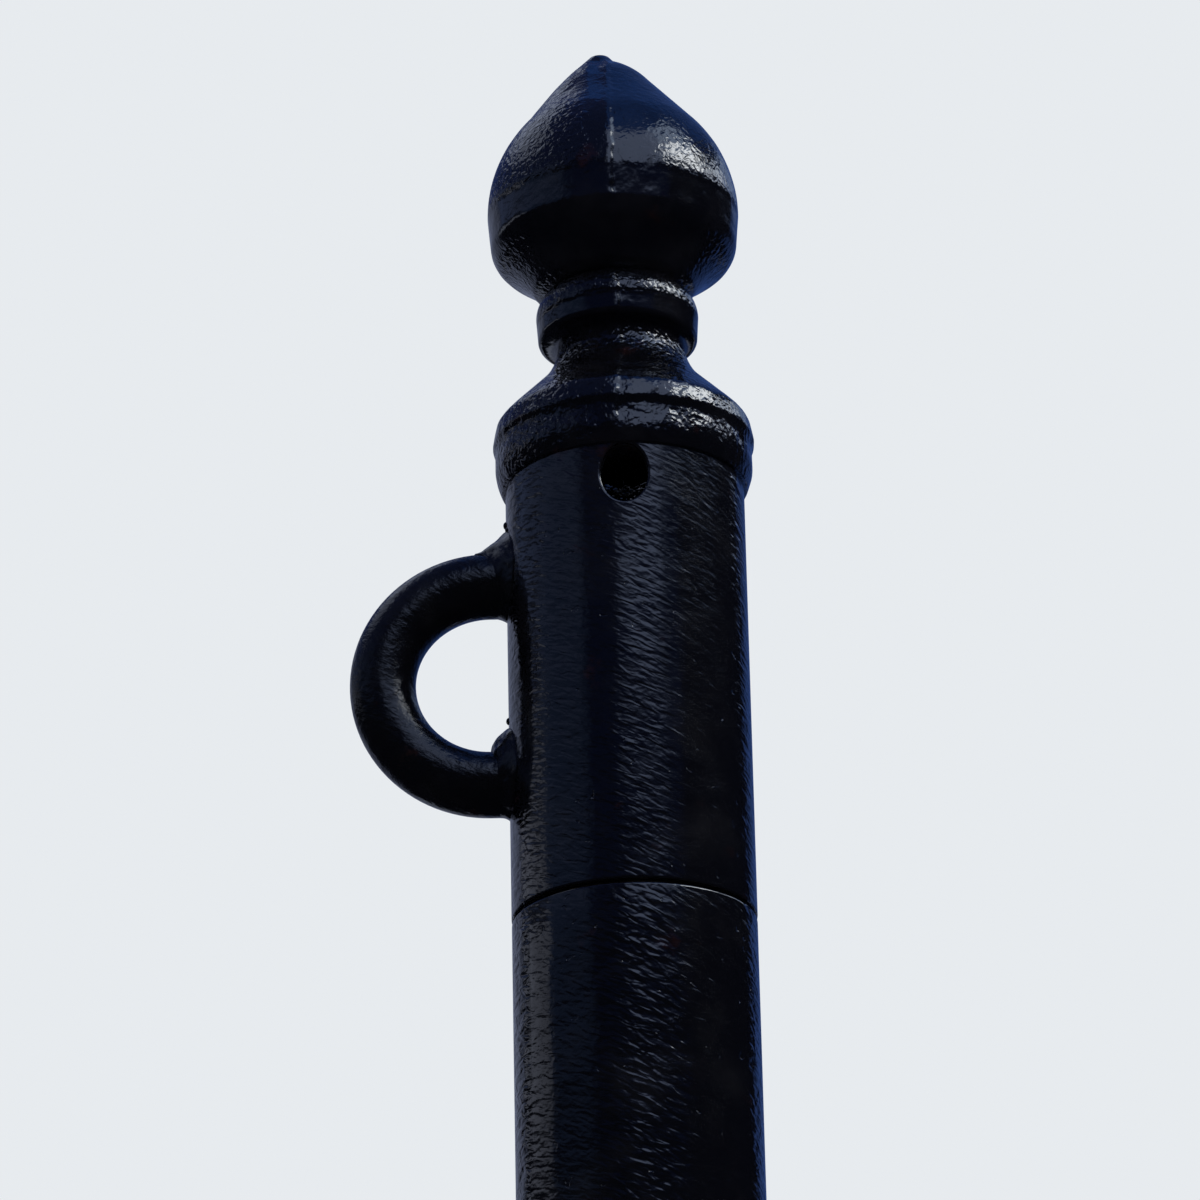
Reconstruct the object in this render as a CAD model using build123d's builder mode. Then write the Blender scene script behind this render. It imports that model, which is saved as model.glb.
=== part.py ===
"""Washing line pole: a round steel pole, a swivel head with a welded line ring, and a cast finial."""

import os
from math import hypot, isclose

from build123d import *

# Sizes are in millimetres. The ground is Z = 0, the pole stands on the Z axis,
# the line ring is on the -X side and the slot in the head faces -Y and +Y.

# Steel tube of the pole and the head
tube_diameter = 76.1
tube_wall = 4.0
pole_length = 2097.0
edge_rounding = 0.6

# Joint between the pole and the head
seam_width = 1.2
seam_depth = 2.5
turning_clearance = 0.3
fixed_clearance = 0.05
spigot_wall = 5.0
spigot_in_pole = 120.0
spigot_in_head = 95.0
spigot_lead_in = 2.0

# Oval slot through the head tube, with its upper end at the finial's lip
slot_width = 14.6
slot_height = 20.0
slot_rim_rounding = 0.8

# Line ring: round bar bent to a half circle, with its centre's height above the tube's lower end
bar_diameter = 20.8
bend_radius = 33.7
leg_length = 5.7
ring_centre_height = 79.7

# Weld bead round each leg of the line ring, widest and highest on the tube's wall
weld_root_depth = 5.0
weld_root_radius = 18.6
weld_root_lift = 4.4
weld_waist_reach = 1.8
weld_waist_radius = 13.4
weld_waist_lift = 2.2
weld_toe_thickness = 0.5

# Finial socket and collar, with heights measured from the collar's lip
lip_height = 145.4
socket_depth = 14.0
socket_clearance = 0.3
lip_thickness = 0.8
lower_band_radius = 41.5
lower_band_height = 7.6
band_groove_radius = 41.1
band_groove_height = 13.3
upper_band_radius = 42.5
upper_band_height = 14.4
upper_band_rounding = 0.5
shoulder_radius = 41.2
shoulder_height = 21.6
shoulder_rounding = 2.5

# Finial cone, neck and bead
neck_waist_radius = 19.5
neck_waist_height = 43.5
neck_top_radius = 21.4
neck_hollow_radius = 24.0
bead_base_radius = 25.9
bead_base_height = 51.7
bead_base_rounding = 1.5
bead_radius = 26.5
bead_height = 60.7
bead_top_radius = 21.9
bead_top_height = 69.2
bead_offset = -1.0

# Finial bulb, which stands a little towards the ring
bulb_offset = -1.7
bulb_foot_radius = 22.5
bulb_foot_height = 69.7
bulb_heel_radius = 26.2
bulb_heel_height = 71.4
bulb_cove_depth = 1.1
bulb_corner_radius = 39.9
bulb_corner_height = 82.8
bulb_corner_rounding = 8.0
bulb_radius = 41.1
bulb_widest_height = 97.6
bulb_cheek_radius = 29.4
bulb_cheek_height = 127.9
bulb_crown_radius = 14.4
bulb_crown_height = 145.2
bulb_apex_height = 155.3

# Flat tip of the casting, off the bulb's centre
tip_offset = -5.0
tip_height = 156.2
tip_flat_radius = 3.5
tip_edge_rounding = 0.8
tip_middle_radius = 13.6
tip_middle_height = 145.0
tip_skirt_radius = 29.8
tip_skirt_height = 122.0

# Places worked out from the sizes
tube_radius = tube_diameter / 2
bore_radius = tube_radius - tube_wall
bar_radius = bar_diameter / 2
head_base = pole_length + seam_width
head_length = lip_height + socket_depth
ring_centre = head_base + ring_centre_height
bend_x = -(tube_radius + leg_length)
leg_centres = {
    "upper": ring_centre + bend_radius,
    "lower": ring_centre - bend_radius,
}
lip_z = head_base + lip_height
slot_centre = lip_z - slot_height / 2


def upright_plane(x, z):
    """The plane that faces -Y, with its own X along X, its own Y along Z and its origin at (x, 0, z)."""
    return Plane(origin=(x, 0, z), x_dir=(1, 0, 0), z_dir=(0, -1, 0))


def upright_axis(x):
    """The vertical line through (x, 0)."""
    return Axis((x, 0, 0), (0, 0, 1))


# Pole tube, open at its foot and round-edged at the seam
with BuildPart() as pole_tube:
    with BuildSketch():
        Circle(tube_radius)
        Circle(bore_radius, mode=Mode.SUBTRACT)
    extrude(amount=pole_length)
    pole_rim = pole_tube.edges().filter_by(GeomType.CIRCLE).group_by(Axis.Z)[-1].sort_by(SortBy.LENGTH)[-1]
    fillet(pole_rim, edge_rounding)


# Spigot: pushed into the pole up to its shoulder, with the head turning on its upper part
with BuildPart() as spigot:
    fixed_radius = bore_radius - fixed_clearance
    turning_radius = bore_radius - turning_clearance
    inner_radius = bore_radius - spigot_wall
    shoulder_top = head_base - turning_clearance
    spigot_foot = pole_length - spigot_in_pole
    spigot_head = head_base + spigot_in_head
    with BuildSketch(Plane.XZ):
        with BuildLine():
            Polyline(
                (inner_radius, spigot_foot),
                (fixed_radius - spigot_lead_in, spigot_foot),
                (fixed_radius, spigot_foot + spigot_lead_in),
                (fixed_radius, pole_length),
                (tube_radius - seam_depth, pole_length),
                (tube_radius - seam_depth, shoulder_top),
                (turning_radius, shoulder_top),
                (turning_radius, spigot_head - spigot_lead_in),
                (turning_radius - spigot_lead_in, spigot_head),
                (inner_radius, spigot_head),
                close=True,
            )
        make_face()
    revolve(axis=Axis.Z)


# Head tube, slotted from front to back just under the finial
with BuildPart() as head_tube:
    with BuildSketch(Plane.XY.offset(head_base)):
        Circle(tube_radius)
        Circle(bore_radius, mode=Mode.SUBTRACT)
    extrude(amount=head_length)
    head_rim = head_tube.edges().filter_by(GeomType.CIRCLE).group_by(Axis.Z)[0].sort_by(SortBy.LENGTH)[-1]
    fillet(head_rim, edge_rounding)
    with BuildSketch(upright_plane(0, slot_centre)):
        Ellipse(slot_width / 2, slot_height / 2)
    extrude(amount=tube_diameter, both=True, mode=Mode.SUBTRACT)
    slot_foot = slot_centre - slot_height / 2
    slot_edges = head_tube.edges().filter_by_position(Axis.Z, slot_foot, slot_foot + slot_height)
    outer_rims = [
        edge
        for edge in slot_edges
        if isclose(hypot((edge @ 0.5).X, (edge @ 0.5).Y), tube_radius, abs_tol=0.01)
    ]
    fillet(outer_rims, slot_rim_rounding)


# Line ring, with both legs cut to the curve of the tube
with BuildPart() as line_ring:
    leg_start = -(tube_radius - bar_radius)
    with BuildLine(Plane.XZ):
        upper_leg = Line((leg_start, leg_centres["upper"]), (bend_x, leg_centres["upper"]))
        CenterArc((bend_x, ring_centre), bend_radius, 90, 180)
        Line((bend_x, leg_centres["lower"]), (leg_start, leg_centres["lower"]))
    with BuildSketch(Plane(origin=upper_leg @ 0, z_dir=upper_leg % 0)):
        Circle(bar_radius)
    sweep()
    with Locations((0, 0, ring_centre)):
        Cylinder(tube_radius, 3 * bend_radius, mode=Mode.SUBTRACT)


def make_weld(leg_centre):
    """A bead that flares from the bar out onto the tube, higher above the leg than below it."""
    sections = (
        (-weld_root_depth, weld_root_radius, weld_root_lift),
        (weld_waist_reach, weld_waist_radius, weld_waist_lift),
        (leg_length, bar_radius + weld_toe_thickness, 0),
    )
    with BuildPart() as weld:
        for reach, radius, lift in sections:
            centre = (-(tube_radius + reach), 0, leg_centre + lift)
            with BuildSketch(Plane(origin=centre, z_dir=(-1, 0, 0))):
                Circle(radius)
        loft(ruled=True)
        add(line_ring.part, mode=Mode.SUBTRACT)
        with Locations((0, 0, leg_centre)):
            Cylinder(tube_radius, 3 * weld_root_radius, mode=Mode.SUBTRACT)
    return weld.part


welds = {f"{place}_ring_weld": make_weld(centre) for place, centre in leg_centres.items()}


# Finial: one casting, turned in form, that drops over the head tube
with BuildPart() as finial:
    socket_radius = tube_radius + socket_clearance
    lip_radius = socket_radius + lip_thickness
    # Collar with its two stepped bands, cone and neck, which runs up through the bead into the bulb
    with BuildSketch(upright_plane(0, lip_z)) as collar_profile:
        with BuildLine():
            Line((0, 0), (lip_radius, 0))
            TangentArc(
                (lower_band_radius, lower_band_height),
                (lip_radius, 0),
                tangent=(0, -1),
            )
            Polyline(
                (lower_band_radius, lower_band_height),
                (band_groove_radius, band_groove_height),
                (upper_band_radius, upper_band_height),
                (shoulder_radius, shoulder_height),
            )
            FilletPolyline(
                (shoulder_radius, shoulder_height),
                (neck_waist_radius, neck_waist_height),
                (neck_top_radius, bead_height),
                radius=neck_hollow_radius,
            )
            Polyline(
                (neck_top_radius, bead_height),
                (neck_top_radius, bulb_heel_height),
                (0, bulb_heel_height),
                (0, 0),
            )
        make_face()
        roundings = (
            ((upper_band_radius, upper_band_height), upper_band_rounding),
            ((shoulder_radius, shoulder_height), shoulder_rounding),
        )
        for place, rounding in roundings:
            fillet(collar_profile.vertices().sort_by_distance(place)[0], rounding)
    revolve(axis=Axis.Z)
    # Bead round the neck, with a level underside and a rounded top
    with BuildSketch(upright_plane(bead_offset, lip_z)) as bead_profile:
        with BuildLine():
            Polyline(
                (0, bead_top_height),
                (0, bead_base_height),
                (bead_base_radius, bead_base_height),
                (bead_radius, bead_height),
            )
            TangentArc(
                (bead_radius, bead_height),
                (bead_top_radius, bead_top_height),
                tangent=(0, 1),
            )
            Line((bead_top_radius, bead_top_height), (0, bead_top_height))
        make_face()
        fillet(bead_profile.vertices().group_by(Axis.Y)[0].sort_by(Axis.X)[-1], bead_base_rounding)
    revolve(axis=upright_axis(bead_offset))
    # Bulb, with a coved underside, round cheeks and a cone-shaped crown
    with BuildSketch(upright_plane(bulb_offset, lip_z)) as bulb_profile:
        with BuildLine():
            Polyline(
                (0, bulb_apex_height),
                (0, bulb_foot_height),
                (bulb_foot_radius, bulb_foot_height),
                (bulb_heel_radius, bulb_heel_height),
            )
            SagittaArc(
                (bulb_heel_radius, bulb_heel_height),
                (bulb_corner_radius, bulb_corner_height),
                bulb_cove_depth,
            )
            Line((bulb_corner_radius, bulb_corner_height), (bulb_radius, bulb_widest_height))
            cheek = TangentArc(
                (bulb_radius, bulb_widest_height),
                (bulb_cheek_radius, bulb_cheek_height),
                tangent=(0, 1),
            )
            Polyline(
                cheek @ 1,
                (bulb_crown_radius, bulb_crown_height),
                (0, bulb_apex_height),
            )
        make_face()
        corner = bulb_profile.vertices().sort_by_distance((bulb_corner_radius, bulb_corner_height))[0]
        fillet(corner, bulb_corner_rounding)
    revolve(axis=upright_axis(bulb_offset))
    # Flat tip, standing to one side of the crown on a skirt that runs down into the bulb
    with BuildSketch(upright_plane(tip_offset, lip_z)) as tip_profile:
        with BuildLine():
            ThreePointArc(
                (tip_skirt_radius, tip_skirt_height),
                (tip_middle_radius, tip_middle_height),
                (tip_flat_radius, tip_height),
            )
            Polyline(
                (tip_flat_radius, tip_height),
                (0, tip_height),
                (0, tip_skirt_height),
                (tip_skirt_radius, tip_skirt_height),
            )
        make_face()
        fillet(tip_profile.vertices().group_by(Axis.Y)[-1].sort_by(Axis.X)[-1], tip_edge_rounding)
    revolve(axis=upright_axis(tip_offset))
    # Socket for the head tube
    with Locations((0, 0, lip_z)):
        Cylinder(
            socket_radius,
            socket_depth,
            align=(Align.CENTER, Align.CENTER, Align.MIN),
            mode=Mode.SUBTRACT,
        )


# Named pieces, one file each
pieces = {
    "pole_tube": pole_tube.part,
    "spigot": spigot.part,
    "head_tube": head_tube.part,
    "line_ring": line_ring.part,
    "finial": finial.part,
    **welds,
}
os.makedirs("parts", exist_ok=True)
for name, solid in pieces.items():
    solid.label = name
    export_step(solid, f"parts/{name}.step")
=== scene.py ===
"""Washing line pole: steel tube, welded line ring and cast finial, all under thick gloss black paint."""

from math import atan2, cos, pi, radians, sin

import bpy
import numpy as np
from mathutils import Matrix, Vector, noise


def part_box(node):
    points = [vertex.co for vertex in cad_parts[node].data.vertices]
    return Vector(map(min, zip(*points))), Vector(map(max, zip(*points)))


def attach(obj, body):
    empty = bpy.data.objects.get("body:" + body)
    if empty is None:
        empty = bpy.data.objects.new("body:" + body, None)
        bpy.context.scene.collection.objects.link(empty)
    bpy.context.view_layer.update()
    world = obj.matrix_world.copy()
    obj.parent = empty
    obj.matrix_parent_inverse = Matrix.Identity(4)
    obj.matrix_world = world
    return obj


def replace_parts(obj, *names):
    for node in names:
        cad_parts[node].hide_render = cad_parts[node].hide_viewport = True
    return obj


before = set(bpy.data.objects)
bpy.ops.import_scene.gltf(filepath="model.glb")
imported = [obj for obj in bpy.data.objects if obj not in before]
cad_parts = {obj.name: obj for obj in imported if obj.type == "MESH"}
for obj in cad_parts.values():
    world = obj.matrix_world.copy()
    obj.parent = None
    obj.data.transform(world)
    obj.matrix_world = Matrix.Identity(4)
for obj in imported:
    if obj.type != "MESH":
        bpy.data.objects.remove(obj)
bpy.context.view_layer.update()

# Lengths are in metres, and sizes said to be in millimetres are turned into metres by MM
MM = 0.001

# Places read from the solid model
LIP_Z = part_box("finial")[0].z
SEAM_Z = (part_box("pole_tube")[1].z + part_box("head_tube")[0].z) / 2
TUBE_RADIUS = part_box("head_tube")[1].x
RING_LOW, RING_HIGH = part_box("line_ring")
RING_Z = (RING_LOW.z + RING_HIGH.z) / 2
BAR_RADIUS = RING_HIGH.y
BEND_RADIUS = (RING_HIGH.z - RING_LOW.z) / 2 - BAR_RADIUS
HEAD_MIDDLE_ABOVE_SEAM = 0.12
HEAD_Z = SEAM_Z + HEAD_MIDDLE_ABOVE_SEAM

# Camera of the photograph, placed from the seam
CAMERA_BACK = 1.7074
CAMERA_BELOW_SEAM = 0.6272
CAMERA_PITCH = radians(23.314)
CAMERA_YAW = radians(-0.289)
CAMERA_ROLL = radians(-1.218)
FRAME_PIXELS = 1200
FOCAL_PIXELS = 5878.6
SENSOR_WIDTH = 36.0

# Finial profile in millimetres: radius and height above the lip
LIP_RADIUS = 39.15
SOCKET_RADIUS = 38.35
SOCKET_DEPTH = 14.0
LOWER_BAND = (41.5, 7.6)
BAND_GROOVE = (41.5, 13.8)
UPPER_BAND = (42.5, 14.6)
UPPER_BAND_ROUNDING = 0.5
SHOULDER = (41.2, 21.6)
SHOULDER_ROUNDING = 2.5
NECK_WAIST = (19.5, 43.5)
NECK_TOP = (21.4, 60.7)
NECK_HOLLOW = 24.0
BEAD_BASE = (25.9, 51.7)
BEAD_BASE_ROUNDING = 1.5
BEAD_WIDEST = (26.5, 60.7)
BEAD_TOP = (21.9, 69.2)
BULB_FOOT = (22.5, 69.7)
BULB_HEEL = (26.2, 71.4)
BULB_COVE_DEPTH = 1.1
BULB_CORNER = (39.9, 82.8)
BULB_CORNER_ROUNDING = 8.0
BULB_WIDEST = (41.1, 97.6)
BULB_CHEEK = (29.4, 127.9)
BULB_CROWN = (14.4, 145.2)
BULB_APEX = 155.3
CROWN_SWELL = 1.3
TIP_SKIRT = (29.8, 122.0)
TIP_MIDDLE = (13.6, 145.0)
TIP_FLAT = (3.5, 156.2)

# Inside of the finial from the middle of the socket's roof to the rounded lip
SOCKET_PROFILE = (
    (0.6, SOCKET_DEPTH),
    (SOCKET_RADIUS, SOCKET_DEPTH),
    (SOCKET_RADIUS, 0.5),
    (SOCKET_RADIUS + 0.15, 0.1),
    (LIP_RADIUS - 0.35, 0.0),
)

# How far each turned form of the finial stands from the tube's axis, in millimetres
BEAD_OFFSET = -1.0
BULB_OFFSET = -1.7
TIP_OFFSET = -5.0

# Heights and offsets of the finial's centre line
CENTRE_LINE = (
    (40, 0.0),
    (58, BEAD_OFFSET),
    (72, BULB_OFFSET),
    (125, BULB_OFFSET),
    (150, TIP_OFFSET),
)

# Parting line and step of the finial's mould, in millimetres
PARTING_X = -2.7
PARTING_X_AT_NECK = -0.6
PARTING_X_AT_BEAD = -1.6
PARTING_LINE = (
    (15, PARTING_X),
    (40, PARTING_X_AT_NECK),
    (58, PARTING_X_AT_BEAD),
    (75, PARTING_X),
)
PARTING_WANDER = 0.8
PARTING_WANDER_SIZE = 3.5
PARTING_SOFTNESS = 0.7
KEEL_SLOPE = 0.009
KEEL_REACH = 0.3
MOULD_STEP = 0.7
MOULD_STEP_WIDTH = 2.1
MOULD_STEP_FADE = 28.0
MARKS_START = (1.0, 10.0)
MARKS_END = (156.0, 150.0)

# Strip filed beside the parting line under the tip, in millimetres
FILED_STRIP_WIDTH = 6.3
FILED_STRIP_START = (124.0, 134.0)
FILED_STRIP_HOLLOW = 1.6
FILED_STRIP_LEAST_RADIUS = 6.0

# Sandy skin of the finial, in millimetres
SKIN_DEPTH = 0.10
SKIN_SIZE = 5.0
BROAD_SKIN_SIZE = 17.0
SKIN_START = 3.0
SKIN_END = 1.5

# Creases between the turned forms, in millimetres, which are softer under the tip
CREASE_SOFTNESS = 0.35
TIP_CREASE_SOFTNESS = 1.2
TIP_CREASE_START = (134, 143)
TIP_CREASE_END = (150, 154)

# How far the soft creases draw the whole surface in, and the least reach that marks may leave, in millimetres
DRAWN_IN = 0.2 * CREASE_SOFTNESS
LEAST_REACH = 0.3

# Thick paint: how far it rounds the outline's corners, and its lumps on the collar, in millimetres
PAINT_SPREAD = 0.85
PAINT_STEP = 0.1
COLLAR_LUMP_DEPTH = 0.4
COLLAR_LUMP_SIZE = 5.5
COLLAR_LUMP_FADE = 4.0

# Rows and columns of the finial's mesh, and the finer or coarser samples that they are spaced by
FINIAL_ROWS = 330
FINIAL_COLUMNS = 270
HEIGHT_SAMPLES = 6000
TURN_SAMPLES = 4000
ROUGH_COLUMNS = 24

# Points left off the end of the bulb's cove, where its rounded corner takes over
COVE_POINTS_CUT = 15

# Rings that close the tip, as shares of its flat's radius
TIP_FLAT_RINGS = (0.8, 0.4)

# Angle, width and extra density of the closer columns at the parting line in front and behind
CLOSER_COLUMNS = (
    (1.5 * pi, 0.35, 2.6),
    (0.5 * pi, 0.2, 1.2),
)

# Pole tube: wall, rounded rim at the seam and dents, in millimetres, and the rows and columns of its mesh
TUBE_WALL = 4.0
SEAM_EDGE = 1.0
DENT_DEPTH = 0.12
DENT_SIZE = 22.0
DENT_STRETCH = 2.5
DENT_FADE = 1.0
RIM_ROWS = 7
WALL_ROWS = 181
BORE_ROWS = 9
POLE_COLUMNS = 192

# Weld bead round each leg of the ring, in millimetres from the bar's axis and from the tube's wall
WELD_ROOT_UP = 17.8
WELD_ROOT_SIDE = 13.8
WELD_ROOT_DOWN = 11.8
WELD_ROOT_WANDER = 0.9
WELD_TOE_SIDE = 4.4
WELD_TOE_DOWN = 2.6
WELD_TOE_WANDER = 0.7
WELD_TOE_THICKNESS = 0.15
WELD_SIDE_HOLLOW = 1.7
WELD_LIFT = 0.25
WELD_DEPTH_IN_WALL = 15.0
WELD_DEPTH_IN_BAR = 12.0
WELD_LUMP_DEPTH = 0.45
WELD_LUMP_SIZE = 4.5
WELD_GRIT_DEPTH = 0.08
WELD_GRIT_SIZE = 1.6
WELD_BUMPS_FROM = 4.0
WELD_ROWS = 40
WELD_COLUMNS = 144

# Where each bead starts inside the wall and ends inside the bar, as shares of the part that shows
WELD_START = -0.12
WELD_END = 1.08

# Noise of a bead's ragged edges: radius and height of the circle it is read on, and its size at root and toe
RAGGED_RADIUS = 12
RAGGED_HEIGHT = 5.0
RAGGED_ROOT_SIZE = 5.0
RAGGED_TOE_SIZE = 4.0

# Each weld's name, side of the ring's centre, toe and hollow on its upper side, and seed of its ragged edge
WELDS = (
    ("upper", 1, 10.0, 1.6, 11),
    ("lower", -1, 5.2, 0.5, 12),
)

# Angle round the tube from the ring, height from the ring's centre and radius of each drop of spatter
SPATTER = (
    (4, 53.5, 1.1),
    (9, 50.5, 0.8),
    (2, -13.0, 1.0),
)
SPATTER_SUNK = 0.2
SPATTER_STRETCH = 1.25
SPATTER_COLUMNS = 20
SPATTER_ROWS = 11
SPATTER_END_LEVEL = 84

# Colours of the paint, its worn and rusty patches, the steel and its grease
PAINT = (0.0012, 0.0013, 0.0022)
PAINT_WORN = (0.0035, 0.0035, 0.0045)
RUST = (0.014, 0.004, 0.003)
STEEL = (0.10, 0.09, 0.075)
GREASE = (0.025, 0.018, 0.010)

# Least and greatest roughness of each surface, and the dull inside of the tubes
TUBE_ROUGHNESS = (0.08, 0.18)
BAR_ROUGHNESS = (0.12, 0.30)
WELD_ROUGHNESS = (0.12, 0.32)
CASTING_ROUGHNESS = (0.06, 0.16)
STEEL_ROUGHNESS = (0.28, 0.5)
BORE_ROUGHNESS = 0.9
BAR_GLOSS = 0.32

# Range that cloudy noise mostly keeps to
CLOUDY = (0.3, 0.7)

# Brush ripples on each tube: how many in a metre, how deep in metres and how strong left of the front
RIPPLES_OF_HEAD = (500, 0.00019, 1.0)
RIPPLES_OF_POLE = (420, 0.00038, 0.4)

# Strength of the ripples elsewhere, and where it changes, in metres from the middle
RIPPLES_RIGHT_OF_FRONT = 0.6
RIPPLES_AT_OUTLINE = 2.4
RIPPLE_LEFT_EDGE = (-0.016, -0.006)
RIPPLE_RIGHT_EDGE = (0.011, 0.019)
RIPPLE_OUTLINE = (0.031, 0.035)

# Distances from the axis between which the wall turns into the bore, in metres
BORE_SURFACE = (TUBE_RADIUS - 0.0024, TUBE_RADIUS - 0.0014)

# Depth of the other marks in the paint and the steel, in metres
TUBE_WAVE_DEPTH = 0.0005
TUBE_PEEL_DEPTH = 0.00006
DRAG_DEPTH = 0.00002
PIT_DEPTH = 0.0003
BAR_WAVE_DEPTH = 0.0004
BAR_PEEL_DEPTH = 0.00026
BAR_STREAK_DEPTH = 0.00020
WELD_PEEL_DEPTH = 0.00018
COLLAR_WAVE_DEPTH = 0.0008
GRAIN_DEPTH = 0.00026
LATHE_DEPTH = 0.00004

# Bands of the finial where the grain changes: heights above the lip and softness of their edges, in metres
NECK_BAND = ((0.030, 0.048), 0.002)
BEAD_WALL_BAND = ((0.050, 0.0585), 0.001)
BEAD_EDGE_BAND = ((0.0595, 0.071), 0.0008)
BULB_CORNER_BAND = ((0.070, 0.083), 0.002)
UNDER_BULB_BAND = ((0.072, 0.097), 0.002)
COLLAR_TOP = (0.022, 0.030)

# Where the grain grows to the right, to the left and towards the outline, in metres from the middle
GRAIN_TO_RIGHT = (0.009, 0.015)
GRAIN_TO_LEFT = (-0.008, -0.015)
GRAIN_TO_OUTLINE = (0.016, 0.030)
GRAIN_WANDER = 0.006

# Strength of the grain in each of those places
RIGHT_GRAIN = (0.75, 1.15)
LEFT_GRAIN = (0.12, 2.2)
OUTLINE_GRAIN = (0.0, 2.2)
BEAD_EDGE_GRAIN = 2.0
NECK_GRAIN = 2.4
QUIET_GRAIN = 0.15

# Studio: background, room light, floor and softbox
PALE_BACKGROUND = (0.80, 0.83, 0.86)
ROOM_LIGHT = (0.90, 0.94, 1.0)
FLOOR_COLOUR = (0.72, 0.73, 0.74)
FLOOR_ROUGHNESS = 0.9
FLOOR_HALF_WIDTH = 30.0
SOFTBOX_SIZE = (1.6, 1.0)
SOFTBOX_POWER = 25
SOFTBOX_TOWARD = (0.75, -0.45, 0.55)
SOFTBOX_DISTANCE = 1.9

# Dome round the head, with a level brim out to a wide wall that goes down past the floor
DOME_RADIUS = 2.1
BRIM_ELEVATION = radians(8)
WALL_RADIUS = 8.0
WALL_BELOW_FLOOR = 0.5
DOME_ROWS = 24
DOME_COLUMNS = 72

# Tones of the dome's glow: painted light and shade of sky, cloud and sun, which the gloss shows as
# reflections
BLACK = (0.004, 0.005, 0.012)
BACK_STRIP = (0.50, 0.56, 0.72)
LEFT_RIM = (0.20, 0.23, 0.34)
LEFT_GREY = (0.48, 0.52, 0.66)
LEFT_HAZE = (0.14, 0.19, 0.36)
LEFT_SHADE = (0.06, 0.10, 0.22)
FRONT_SHADE = (0.01, 0.025, 0.11)
CLOUD = (0.50, 0.57, 0.77)
NAVY = (0.030, 0.050, 0.17)
BLUE = (0.035, 0.10, 0.36)
HIGH_BLUE = (0.06, 0.17, 0.60)
DEEP_BLUE = (0.045, 0.095, 0.30)
NEAR_LIGHT = (0.92, 1.14, 1.75)
SIDE_GLOW = (1.5, 1.9, 2.7)
SIDE_LIGHT = (11.0, 11.5, 12.0)
FAR_LIGHT = (2.6, 2.9, 3.4)
FAR_HAZE = (0.35, 0.48, 0.80)

# Azimuths, elevations, softness and tone of each painted patch of light or shade on the dome, later ones over
# earlier ones
PAINTED_REFLECTION_PATCHES = (
    ((152, 174), (-20, 0), 5, BACK_STRIP),
    ((-174, -152), (-20, 0), 5, BACK_STRIP),
    ((128, 200), (-13, 9), 5, DEEP_BLUE),
    ((-200, -129), (-12, 70), 8, LEFT_RIM),
    ((-60, 50), (16, 25), 6, FRONT_SHADE),
    ((-90, -42), (13, 26), 6, LEFT_SHADE),
    ((-127, -44), (22.5, 31), 6, LEFT_HAZE),
    ((-126, -86), (12.5, 18), 3, LEFT_GREY),
    ((-200, 8), (31, 100), 6, NAVY),
    ((-165, -86), (42, 61), 4, CLOUD),
    ((-2, 200), (46, 100), 8, BLUE),
    ((-200, -158), (60, 100), 4, BLUE),
    ((-2, 62), (40, 80), 12, HIGH_BLUE),
    ((140, 200), (-16, 60), 8, DEEP_BLUE),
    ((-4, 36), (24, 58), 8, NEAR_LIGHT),
    ((32, 62), (33, 58), 6, NEAR_LIGHT),
    ((100, 156), (29, 40), 6, FAR_HAZE),
    ((40, 100), (27, 33), 4, FAR_HAZE),
    ((50, 92), (42, 62), 8, SIDE_GLOW),
    ((88, 128), (31, 38), 4, FAR_LIGHT),
    ((52, 94), (35, 46), 5, SIDE_LIGHT),
)


# Meshes


def skin(rows, cap_first=False, cap_last=False):
    """Points and faces through closed rows of points, with a fan over either end."""
    points = np.array(rows)
    count, around = points.shape[:2]
    here = np.arange(around)
    after = np.roll(here, -1)
    base = (np.arange(count - 1) * around)[:, None]
    quads = np.stack([base + here, base + after, base + around + after, base + around + here], axis=-1)
    faces = quads.reshape(-1, 4).tolist()
    verts = points.reshape(-1, 3).tolist()
    if cap_first:
        faces += [(int(b), int(a), len(verts)) for a, b in zip(here, after)]
        verts.append(points[0].mean(axis=0).tolist())
    if cap_last:
        last = (count - 1) * around
        faces += [(last + int(a), last + int(b), len(verts)) for a, b in zip(here, after)]
        verts.append(points[-1].mean(axis=0).tolist())
    return verts, faces


def new_mesh(name, verts, faces):
    """A smooth mesh of the given points and faces."""
    mesh = bpy.data.meshes.new(name)
    mesh.from_pydata(verts, [], faces)
    mesh.shade_smooth()
    mesh.update()
    return mesh


def new_piece(name, mesh, body, material):
    """A piece of the object that rides on a body and takes its finish from a slot."""
    obj = bpy.data.objects.new(name, mesh)
    bpy.context.scene.collection.objects.link(obj)
    mesh.materials.append(material)
    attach(obj, body)
    return obj


def new_stage_piece(name, mesh, material):
    """A piece of the studio, which isn't part of the object."""
    piece = bpy.data.objects.new(name, mesh)
    bpy.context.scene.collection.objects.link(piece)
    mesh.materials.append(material)
    return piece


def around_axis(count):
    """Level directions at even angles round the Z axis."""
    turn = np.linspace(0, 2 * pi, count, endpoint=False)
    return np.stack([np.cos(turn), np.sin(turn), np.zeros_like(turn)], axis=-1)


def smooth_between(low, high, value):
    """0 at low, 1 at high and smooth between them."""
    t = np.clip((value - low) / (high - low), 0.0, 1.0)
    return t * t * (3.0 - 2.0 * t)


def lumps(points, size, seed):
    """Smooth noise of about -1 to 1 at each point, with lumps of the given size."""
    shift = Vector((7.3 * seed, 3.1 * seed, 5.7 * seed))
    flat = points.reshape(-1, 3) / size
    values = [noise.noise(Vector(p) + shift) for p in flat]
    return np.array(values).reshape(points.shape[:-1])


# Arcs of the finial's outline


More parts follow.
